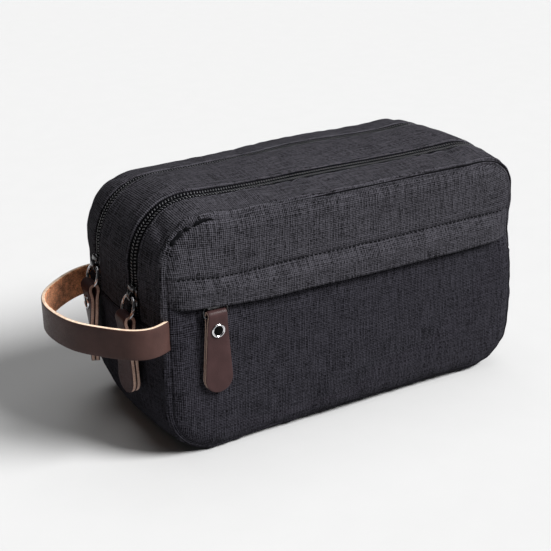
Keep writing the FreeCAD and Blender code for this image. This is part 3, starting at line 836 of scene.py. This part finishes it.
def seam_shade_lines():
    """A black tube laid in the valley between a face and the strip beside it: painted shade, a dark line
    where the seam's valley is in shadow.
    """
    s = np.linspace(0, PERIMETER, 700, endpoint=False)
    # the painted shade lies deeper in its valley towards the closed end
    deeper = 1 - smooth((outline(s)[0] + 70) / 60)
    inset = 0.3 + 0.4 * deeper
    for name, side in SIDES:
        line = band_points(s, side * (SEAM_Y - inset), -crown_at(SEAM_Y - inset) - 0.25 - 0.45 * deeper)
        radius = np.full_like(s, 0.75)
        if side < 0:
            # where the seam gapes the tube is thicker, painting the darker shade of the open gap
            torn = gape(line[:, 0], line[:, 2])
            radius += 0.14 * torn * (1 + 0.5 * soft(line, FRAY))
        line = rest_on_floor(drape(line), 1.2)
        edge = tube(name + "_seam_shade", line, radius, 8, THREAD_AND_SEAM_SHADE, closed=True)
        with_lid(edge)


def rear_face():
    def lift(x, z):
        return face_lift(x, z, 2.6) + dents(x, z, 1, 1.1)

    rear = face_grid("rear_canvas", 1, face_rows(SEAM_TOP, SEAM_BOTTOM), lift, CANVAS_SHADED)
    thicken(rear)
    with_lid(rear, ("rear_panel", "rear_top_panel"))


# ---- zips

COIL_PITCH = 1.75        # one turn of a coil
COIL_WIRE = 0.45         # half the thickness of a coil's wire
POCKET_COIL_WIRE = 0.34


def coil(name, centres, wire, sides):
    """One row of a coil zip: a spiral of nylon along a line of centres."""
    rings = tube_rings(drape(centres), wire, sides)
    faces = grid_faces(len(rings), sides, wrap_columns=True)
    return mesh_piece(name, rings.reshape(-1, 3), faces, materials=[COIL])


def spiral(start, end, steps):
    """Places along a coil and its phase at each."""
    turns = np.arange(int((end - start) / COIL_PITCH) * steps) / steps
    return start + turns * COIL_PITCH, turns * 2 * np.pi


def half_turn(across):
    """How far a zip's second row lies along from the first, so that they mesh."""
    return (across < 0) * COIL_PITCH / 2


def coil_row(name, side, across):
    """A row of a main zip, which leans over the edge of its tape."""
    s, phase = spiral(S_LEFT_SEAM + 1.0, S_RIGHT_SEAM - 1.0, 12)
    y = side * ZIP_Y + across * (2.0 - 1.0 * np.cos(phase))
    return coil(name, band_points(s + half_turn(across), y, -0.45 + 0.42 * np.sin(phase)), COIL_WIRE, 6)


TAPE_REACH = 7.4         # from a zip's middle to the sewn edge of its tape


def tape_strip(name, side, across):
    """A zip's woven tape, from under the coil to its sewn edge."""
    edges = sorted((side * ZIP_Y + across * 0.35, side * ZIP_Y + across * TAPE_REACH))

    def relief(s, y, points):
        return -0.5 + 0.05 * soft(points, PUCKERS)

    return thicken(band(name, GUSSET_RUN, edges, relief, TAPE, step=3.0), TAPE_CLOTH)


def zips():
    """The tape and the coil on both sides of each main zip; the inner side faces the bag's middle."""
    for name, side in SIDES:
        for row, across in (("_inner", -side), ("_outer", side)):
            tape = tape_strip(name + row + "_tape", side, across)
            teeth = coil_row(name + row + "_coil", side, across)
            for piece, kind in ((tape, "tape"), (teeth, "coil")):
                node = name + "_zip" + row + "_" + kind
                if across == -side:
                    with_bag(piece, "zip_" + kind, node)
                else:
                    end_nodes = name + "_zip_end_" + kind + "s"
                    with_lid(piece, (node, end_nodes))


def pocket_zip_rise(x, z):
    """The pocket's zip climbs less than the hem that covers it."""
    return 0.6 * hem_rise(x, z)


def pocket_zip():
    """The zip behind the flap: its tape, the two coil rows and a stop at each end."""
    half = END_X - 16
    tape_y, coil_y = -SEAM_Y - 0.9, -SEAM_Y - 1.6
    middle = (low("pocket_zip_tapes", 2) + high("pocket_zip_tapes", 2)) / 2
    x = np.linspace(-half, half, 120)
    rows = middle + np.linspace(4.5, -4.5, 7)
    z = np.repeat(rows, len(x))
    points = np.stack([np.tile(x, len(rows)), 0 * z + tape_y, z], 1)
    uvs = points[:, [0, 2]].copy()
    points[:, 2] += pocket_zip_rise(points[:, 0], z)
    tape = mesh_piece("pocket_zip_tape", drape(points), grid_faces(len(rows), len(x)), uvs, materials=[TAPE])
    thicken(tape, TAPE_CLOTH)
    with_bag(tape, "zip_tape", "pocket_zip_tapes")
    for name, across, nodes in (("upper", 1, ["pocket_zip_coils"]), ("lower", -1, [])):
        along, phase = spiral(-half, half, 8)
        up = middle + across * (1.2 - 1.1 * np.cos(phase)) + pocket_zip_rise(along, middle)
        centres = np.stack([along + half_turn(across), coil_y - 0.5 * np.sin(phase), up], 1)
        with_bag(coil("pocket_" + name + "_coil", centres, POCKET_COIL_WIRE, 5), "zip_coil", *nodes)
    for name, end, nodes in (("left", -1, ["pocket_zip_stops"]), ("right", 1, [])):
        line = np.array([(end * (half + 0.8), coil_y, middle + up) for up in (-2.4, 2.4)])
        line[:, 2] += pocket_zip_rise(line[:, 0], line[:, 2])
        stop = tube("pocket_zip_" + name + "_stop", drape(line), 0.9, 10, SLIDER)
        with_bag(stop, "slider_metal", *nodes)


# ---- stitching

STITCH_LENGTH = 2.1


def stitch_mesh(name, line, pitch, radius):
    """A row of short threads lying along a line of surface points."""
    travelled = run_length(line)
    profile = ((-0.5, 0.35), (-0.38, 0.85), (0, 1.0), (0.38, 0.85), (0.5, 0.35))
    sides = 6
    circle_points = np.stack(circle(sides), 1)
    points, faces = [], []
    for middle in np.arange(pitch, travelled[-1] - pitch, pitch):
        ends = [middle - STITCH_LENGTH / 2, middle + STITCH_LENGTH / 2]
        a, b = np.stack([np.interp(ends, travelled, line[:, k]) for k in range(3)], 1)
        along = unit(b - a)
        across = unit(np.cross(along, [0.3, 0.2, 0.93]))
        section = circle_points @ np.stack([across, np.cross(along, across)])
        faces += capped_faces(len(profile), sides, len(points))
        for part, wide in profile:
            points.extend((a + b) / 2 + along * part * STITCH_LENGTH + radius * wide * section)
    return mesh_piece(name, points, faces, materials=[THREAD_AND_SEAM_SHADE])


def zip_stitching():
    s = np.linspace(S_LEFT_SEAM + 2, S_RIGHT_SEAM - 2, 400)
    for name, side in SIDES:
        for part, across, group in (("inner", -side, "centre"), ("outer", side, name)):
            y = np.full_like(s, side * ZIP_Y + across * (GUSSET_EDGE + ZIP_STITCHES))
            height = soft(band_points(s, y, 0.0), DIMPLES) + 1.7 * creases(s, y, group) - 0.12
            line = drape(band_points(s, y, height))
            row = stitch_mesh(name + "_" + part + "_zip_stitches", line, 3.0, 0.27)
            if part == "inner":
                with_bag(row, "canvas")
            else:
                with_lid(row)


def flap_stitching():
    x = np.linspace(-END_X + 6, END_X - 6, 300)
    z = np.full_like(x, STITCH_Z)
    dimples = soft(on_seam_plane(x, z, -1), DIMPLES)
    lift = face_lift(x, z, 2.4) + flap_shape(x, z) + dimples + stitch_puckers(x, z) + 0.35
    line = drape(np.stack([x, -(SEAM_Y + lift), z + hem_rise(x, z)], 1))
    row = stitch_mesh("flap_stitches", line, 3.1, 0.72)
    with_lid(row)


# ---- inside

LINING_GAP = 6.5         # from a zip's middle to the edge of the lining beside it


def lining_band(name, run, edges):
    def relief(s, y, points):
        return 0.5 * soft(points, DIMPLES)

    return thicken(band(name, run, edges, relief, LINING, step=4.0, offset=-2.0), LINING_CLOTH)


def linings():
    """Lining of both compartments; a face's lining also covers its padding and bound seam edges."""
    reach = ZIP_Y - LINING_GAP
    base = lining_band("base_lining_cloth", BASE_RUN, (-SEAM_Y + 1, SEAM_Y - 1))
    with_bag(base, "lining", "base_lining")
    centre = lining_band("centre_lining_cloth", GUSSET_RUN, (-reach, reach))
    with_bag(centre, "lining", "centre_gusset_lining")
    for name, side in SIDES:
        edges = sorted((side * (ZIP_Y + LINING_GAP), side * (SEAM_Y - 0.5)))
        strip = lining_band(name + "_gusset_lining_cloth", GUSSET_RUN, edges)
        with_lid(strip, (name + "_gusset_lining", name + "_gusset_end_linings"))
        face_lining(name, side, POCKET_LINING_DEPTH if side < 0 else REAR_LINING_DEPTH)


def face_lining(name, side, depth):
    """depth is how much further in the lining lies below the fold, where the pocket is."""
    def lift(x, z):
        points = on_seam_plane(x, z, side)
        d = seam_distance(x, z)
        lower = smooth((FOLD_Z + 6 - z) / 14)
        return -0.5 - (0.6 + depth * lower) * smooth(d / 8) + 0.5 * soft(points, DIMPLES) * smooth(d / 12)

    rows = face_rows(SEAM_TOP - 2, SEAM_BOTTOM + 2, 4.0)
    cloth = face_grid(name + "_lining_cloth", side, rows, lift, LINING, columns=70)
    thicken(cloth, LINING_CLOTH)
    nodes = [name + part for part in ("_lining", "_top_lining", "_foam", "_top_foam", "_binding")]
    with_lid(cloth, nodes)


def divider():
    """The wall between the two compartments."""
    rows = face_rows(SEAM_TOP, SEAM_BOTTOM, 3.0)
    u = np.linspace(-1, 1, 90)
    z = np.repeat(rows, len(u))
    x = np.tile(u, len(rows)) * (half_width(z) + CROWN - 2.4)
    middle = (SEAM_TOP + SEAM_BOTTOM) / 2
    stretch = 1 + (CROWN - 2.6) / (SEAM_TOP - middle)
    points = np.stack([x, 0 * x, middle + (z - middle) * stretch], 1)
    points[:, 1] = 0.9 * soft(points * [1, 0, 1], DIMPLES) + 1.1 * soft(points * [1, 0, 0.4], BULGES[1])
    points = rest_on_floor(drape(points), 1.6)
    uvs = np.stack([x, z], 1)
    cloth = mesh_piece("divider_cloth", points, grid_faces(len(rows), len(u)), uvs, materials=[LINING])
    thicken(cloth, DIVIDER_CLOTH)
    with_bag(cloth, "lining", "divider", "pocket_backing")


# ---- leather

def leather_strip(name, path, normals, half_widths, thickness, materials):
    """A leather strip along a path: finished outer side, raw edges and napped inner side.

    normals point out of the finished side. Materials are (outer, edge, inner).
    """
    along = unit(np.gradient(path, axis=0))
    normals = unit(normals - (normals * along).sum(1)[:, None] * along)
    across = np.cross(along, normals)
    half = thickness / 2
    corner = 0.16 * thickness
    # each corner of the section is (across in half widths, across in millimetres, out)
    section = [(u, 0, half) for u in np.linspace(-1, 1, 9)] + [
        (1, 0.7 * corner, half - 0.3 * corner),
        (1, corner, half - corner),
        (1, corner, corner - half),
        (1, 0.7 * corner, 0.3 * corner - half),
    ]
    section += [(-u, -extra, -out) for u, extra, out in section]
    points = []
    for centre, side, out, width in zip(path, across, normals, half_widths):
        body = max(width - corner, 0.05)
        points.extend(centre + side * (u * body + extra) + out * height for u, extra, height in section)
    edge = [0, 0, 1, 2, 2]
    kinds = ([0] * 8 + edge + [2] * 8 + edge[::-1]) * (len(path) - 1) + [1, 1]
    faces = capped_faces(len(path), len(section))
    return mesh_piece(name, points, faces, indices=kinds, materials=materials)


PULL_TIP = 49.0          # from the eye's middle down to the tip
PULL_WIDE = 9.2          # half the width where a pull is widest
EYE = 2.65               # half the width of the teardrop eye
LAYER = 2.6              # thickness of one layer
RIVET_Z = -10.5


def pull_half_width(z, top, tip):
    """Half the width of a pull at a height z below its eye."""
    round_from = 9.6 - tip
    straight = top + (PULL_WIDE - top) * np.clip((3.9 - z) / (3.9 - round_from), 0, 1)
    down = np.clip((round_from - z) / (tip + round_from), 0, 1)
    return np.maximum(straight * np.sqrt(np.clip(1 - down ** 2, 0, 1)), 0.5)


def hang(piece, name, turn, lift, node):
    """Moves a piece from the pull's own frame, where it faces -X, to the pull's joint.

    turn gives the angle by which the pull is twisted at each height.
    """
    points = np.array([vertex.co for vertex in piece.data.vertices]) / MM
    cosine, sine = np.cos(turn(points[:, 2])), np.sin(turn(points[:, 2]))
    x = points[:, 0] * cosine - points[:, 1] * sine
    y = points[:, 0] * sine + points[:, 1] * cosine
    if name == "pocket":
        # this pull faces -Y
        x, y = -y, x
    points = np.stack([x, y, points[:, 2] + lift], 1) + joint_at(name + "_pull_swing")
    piece.data.vertices.foreach_set("co", (points * MM).astype(np.float32).ravel())
    piece.data.update()
    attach(piece, name + "_pull")
    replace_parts(piece, node)


def pull(name, twist, tip, eye=EYE, layer=LAYER, top=6.5, lift=0.0):
    """A leather strip folded over its ring: both layers in one strip, with a teardrop eye."""
    gap = layer / 2 + 0.1
    side = [(gap, z) for z in (-tip, -38, -26, -16, -10)]
    side += [(gap + 0.15, -6.5), (0.84 * eye, -3.2), (eye, -0.5), (0.72 * eye, 0.72 * eye), (0, eye)]
    route = side + [(-x, z) for x, z in side[-2::-1]]
    line = smooth_line([(x, 0, z) for x, z in route], 0.9)
    normals = np.cross([[0.0, 1.0, 0]], np.gradient(line, axis=0))
    # the finished side faces away from the fold's inside
    normals *= np.sign((normals[:, 0] * line[:, 0])[len(line) // 4])
    widths = pull_half_width(line[:, 2], top, tip)
    materials = (PULL_LEATHER, PULL_EDGE, PULL_LEATHER)
    piece = leather_strip(name + "_leather_pull", line, normals, widths, layer, materials)
    hang(piece, name, lambda z: np.radians(twist) * smooth(-z / tip * 1.4), lift, name + "_pull")


def lathe(name, profile, sides, materials, kinds):
    """A turned piece about the X axis from (x, radius) pairs; kinds is one material a ring."""
    turn = np.stack(circle(sides), 1)
    points = [(x, radius * cosine, radius * sine) for x, radius in profile for cosine, sine in turn]
    indices = np.repeat(kinds, sides).tolist() + [kinds[0], kinds[-1]]
    return mesh_piece(name, points, capped_faces(len(profile), sides), indices=indices, materials=materials)


def rivet(name, twist, layer=LAYER, lift=0.0):
    """Snap rivet: a bright raised ring round a dark domed centre, and a plain cap behind."""
    face = -(layer + 0.2)
    turns = np.radians(np.linspace(0, 84, 9))
    dome = [(face - 0.35 - 0.85 * math.cos(a), 3.05 * math.sin(a) + 0.02) for a in turns]
    rim = [
        (face - 0.25, 3.2), (face - 0.75, 3.35), (face - 1.0, 3.65), (face - 0.95, 4.05),
        (face - 0.6, 4.35), (face - 0.05, 4.45), (face + 0.2, 4.3), (face + 0.25, 1.5),
    ]
    back = [
        (-face - 0.25, 1.5), (-face - 0.2, 4.3), (-face + 0.1, 4.4), (-face + 0.7, 4.0),
        (-face + 1.0, 3.0), (-face + 1.1, 0.05),
    ]
    profile = dome + rim + back
    kinds = [1] * (len(dome) - 1) + [0] * (len(profile) - len(dome))
    piece = lathe(name + "_snap_rivet", profile, 40, (CHROME, DOME), kinds)
    angle = math.radians(twist) * smooth(-RIVET_Z / PULL_TIP * 1.4)
    hang(piece, name, lambda z: angle + 0 * z, RIVET_Z + lift, name + "_rivet")


def pulls():
    for name, twist, tip in (("front", 6, PULL_TIP), ("rear", -22, 52.0)):
        pull(name, twist, tip)
        rivet(name, twist)
    pull("pocket", 0, 51.3, eye=1.9, layer=1.9, top=5.9, lift=1.4)
    rivet("pocket", 0, layer=1.9, lift=1.9)


LOOP_THICKNESS = 2.7
LOOP_DROOP = 3.8         # how far the loop sinks from one end to the other
LOOP_SMOOTHING = 13      # points averaged along the loop


def carrying_loop():
    """One leather strap from seam to seam, napped inside, with its ends tucked into the seams."""
    middle = joint_at("handle_swing")[2]
    far = low("handle_strap", 0) - 1.9
    route = [
        (-124, -53.5), (-128.6, -56.1), (-132.2, -59.4), (-137.0, -61.8), (-145.8, -61.3),
        (-154.5, -54.2), (-162.2, -44.6), (far + 5.3, -26.4), (far + 1.1, -7.7), (far, 4.1),
        (far + 1.5, 16.8), (far + 6.0, 28.0), (-165.6, 37.9), (-150.2, 50.8), (-141.0, 55.4),
        (-134.4, 57.4), (-129.5, 58.3), (-124, 57.5),
    ]
    line = smooth_line([(x, y, middle) for x, y in route], 1.8)
    reach = LOOP_SMOOTHING // 2
    even = np.pad(line, ((reach, reach), (0, 0)), mode="reflect", reflect_type="odd")
    share = np.full(LOOP_SMOOTHING, 1 / LOOP_SMOOTHING)
    line = np.stack([np.convolve(even[:, k], share, mode="valid") for k in range(3)], 1)
    line[:, 2] -= LOOP_DROOP * smooth(np.linspace(0, 1.2, len(line)))
    outward = np.cross(np.gradient(line, axis=0), [[0, 0, 1.0]])
    if outward[len(line) // 2, 0] > 0:
        outward = -outward
    width = high("handle_strap", 2) - low("handle_strap", 2)
    widths = np.full(len(line), width / 2)
    materials = (LEATHER, RAW_EDGE, SUEDE)
    strap = leather_strip("handle_leather", line, outward, widths, LOOP_THICKNESS, materials)
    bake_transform(strap)
    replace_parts(strap, "handle_strap", "handle_tabs")


# ---- metal

def wire_ring(name):
    """Wire ring from the slider's bail to the pull's eye."""
    top = joint_at(name + "_ring_swing")
    down = joint_at(name + "_pull_swing") - top
    length = np.linalg.norm(down)
    down = down / length
    half, corner = 7.5, 7.0
    loop = []
    for cy, cz, start in (
        (half - corner, -corner, 0), (half - corner, corner - length, 90),
        (corner - half, corner - length, 180), (corner - half, -corner, 270),
    ):
        for angle in np.radians(np.linspace(start, start + 90, 8)):
            loop.append((cy + corner * math.sin(angle), -(cz + corner * math.cos(angle))))
    loop = np.array(loop + loop[:1])
    line = evenly(top + loop[:, :1] * np.array([0, 1.0, 0]) + loop[:, 1:] * down, 0.8)[:-1]
    around = np.cross([0, 1.0, 0], down)
    piece = tube(name + "_wire_ring", line, 1.1, 12, GUNMETAL, closed=True, around=around)
    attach(piece, name + "_ring")
    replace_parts(piece, name + "_ring")


RING_OUT = 2.65          # from the ring's upper hinge out to the middle of the slider
# right half of a slider's plate, (across, up) from its lower end
PLATE_SIDE = [
    (3.0, -5.5), (3.6, -4.6), (3.9, -2.0), (4.25, 1.5), (4.25, 4.0), (3.4, 5.3), (1.6, 5.6), (0.7, 4.9),
]
BAR_SECTION = [(0.7, 1), (1, 0.55), (1, -0.55), (0.7, -1), (-0.7, -1), (-1, -0.55), (-1, 0.55), (-0.7, 1)]


def slider(name):
    """Coil zip slider: shouldered top plate, bail arch, neck and under plate."""
    shape = PLATE_SIDE + [(0.0, 4.7)] + [(-y, z) for y, z in PLATE_SIDE[::-1]]
    points, faces = [], []

    def plate(outer, inner, grow):
        layers = [(outer, 0.86), (outer + 0.25, 1.0), ((outer + inner) / 2, 1.03)]
        layers += [(inner - 0.2, 1.0), (inner, 0.9)]
        faces.extend(capped_faces(len(layers), len(shape), len(points)))
        for x, size in layers:
            points.extend((x, y * size * grow, z * size * grow) for y, z in shape)

    def bar(path, width, thick):
        """A flat bar along points in the XZ plane."""
        path = np.asarray(path, float)
        faces.extend(capped_faces(len(path), len(BAR_SECTION), len(points)))
        for (x, z), (along_x, along_z) in zip(path, unit(np.gradient(path, axis=0)) * thick):
            points.extend((x + along_z * b, a * width, z - along_x * b) for a, b in BAR_SECTION)

    plate(-1.7, 0.3, 1.16)
    plate(3.9, 5.0, 0.9)
    turns = np.radians(np.linspace(8, 172, 15))
    arch = [(-1.4 - 3.1 * math.sin(a), -3.9 * math.cos(a)) for a in turns]
    bar([(-1.0, -4.9), *arch, (-1.0, 4.9)], 1.7, 0.7)
    bar([(-1.5, 6.2), (-2.2, 5.6), (-2.5, 4.4), (-2.0, 3.0)], 3.5, 1.1)
    bar([(-1.8, -3.0), (-2.2, -4.3), (-1.6, -5.6)], 3.1, 1.0)
    bar([(-0.7, 0.0), (1.5, 0.2), (4.2, 0.0)], 0.3, 1.6)
    centre = joint_at(name + "_ring_swing") + [RING_OUT, 0, 0]
    piece = mesh_piece(name + "_zip_slider", np.array(points) + centre, faces, materials=[SLIDER])
    edge = piece.modifiers.new("soft_edges", "BEVEL")
    edge.width = 0.18 * MM
    edge.segments = 2
    edge.limit_method = "ANGLE"
    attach(piece, name + "_slider")
    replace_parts(piece, name + "_slider")


def hardware():
    for name in ("front", "rear"):
        wire_ring(name)
        slider(name)


# ---- nodes shown as they are

def paint_nodes():
    """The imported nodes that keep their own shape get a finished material."""
    for node in ("pocket_slider", "front_zip_stops", "rear_zip_stops"):
        mesh = frame["nodes"][node].data
        mesh.materials.clear()
        mesh.materials.append(SLIDER)


# ---- studio

def sun(name, place, width, power):
    """An even soft light that comes from the direction of a place; width is its angle in degrees."""
    data = bpy.data.lights.new(name, "SUN")
    data.angle = math.radians(width)
    data.energy = power
    lamp = add_object(name, data)
    lamp.rotation_mode = "QUATERNION"
    lamp.rotation_quaternion = Vector(place).to_track_quat("Z", "Y")


def studio():
    reach = 6.0 / MM
    corners = [(-reach, -reach, 0), (reach, -reach, 0), (reach, reach, 0), (-reach, reach, 0)]
    floor = mesh_piece("studio_floor", corners, [(0, 1, 2, 3)])
    shader = Shader("floor_paper", 0.9, Specular_IOR_Level=0.1)
    grain = shader.noise(shader.place(), 40.0, 3.0)
    colour = shader.mix(grain, (0.45, 0.45, 0.45), (0.465, 0.465, 0.465))
    floor.data.materials.append(shader.finish(colour))

    world = bpy.data.worlds.new("studio_world")
    world.use_nodes = True
    background = world.node_tree.nodes["Background"]
    background.inputs["Color"].default_value = (1, 1, 1, 1)
    background.inputs["Strength"].default_value = 0.06
    bpy.context.scene.world = world
    bpy.context.scene.view_settings.view_transform = "Standard"
    sun("key", (0.95, -0.95, 1.15), 26, 7.4)
    sun("top", (0.2, 0.2, 1.6), 50, 1.3)


def camera():
    """The view from the front left and a little above."""
    azimuth, elevation, distance = math.radians(-29.8), math.radians(23.1), 0.782
    target = Vector((-0.0231, 0.0, 0.0796))
    back = Vector((
        math.sin(azimuth) * math.cos(elevation),
        -math.cos(azimuth) * math.cos(elevation),
        math.sin(elevation),
    ))
    data = bpy.data.cameras.new("view")
    data.sensor_width = 36.0
    data.lens = 76.64
    data.clip_start = 0.05
    view = add_object("view", data)
    view.location = target + back * distance
    turn = (-back).to_track_quat("-Z", "Y").to_matrix().to_4x4()
    roll = math.radians(-0.69)
    view.rotation_mode = "QUATERNION"
    view.rotation_quaternion = (turn @ Matrix.Rotation(roll, 4, "Z")).to_quaternion()
    bpy.context.scene.camera = view


camera()
cloth_bands()
front_faces()
rear_face()
seam_shade_lines()
zips()
pocket_zip()
zip_stitching()
flap_stitching()
linings()
divider()
pulls()
carrying_loop()
hardware()
paint_nodes()
studio()

bpy.context.view_layer.update()
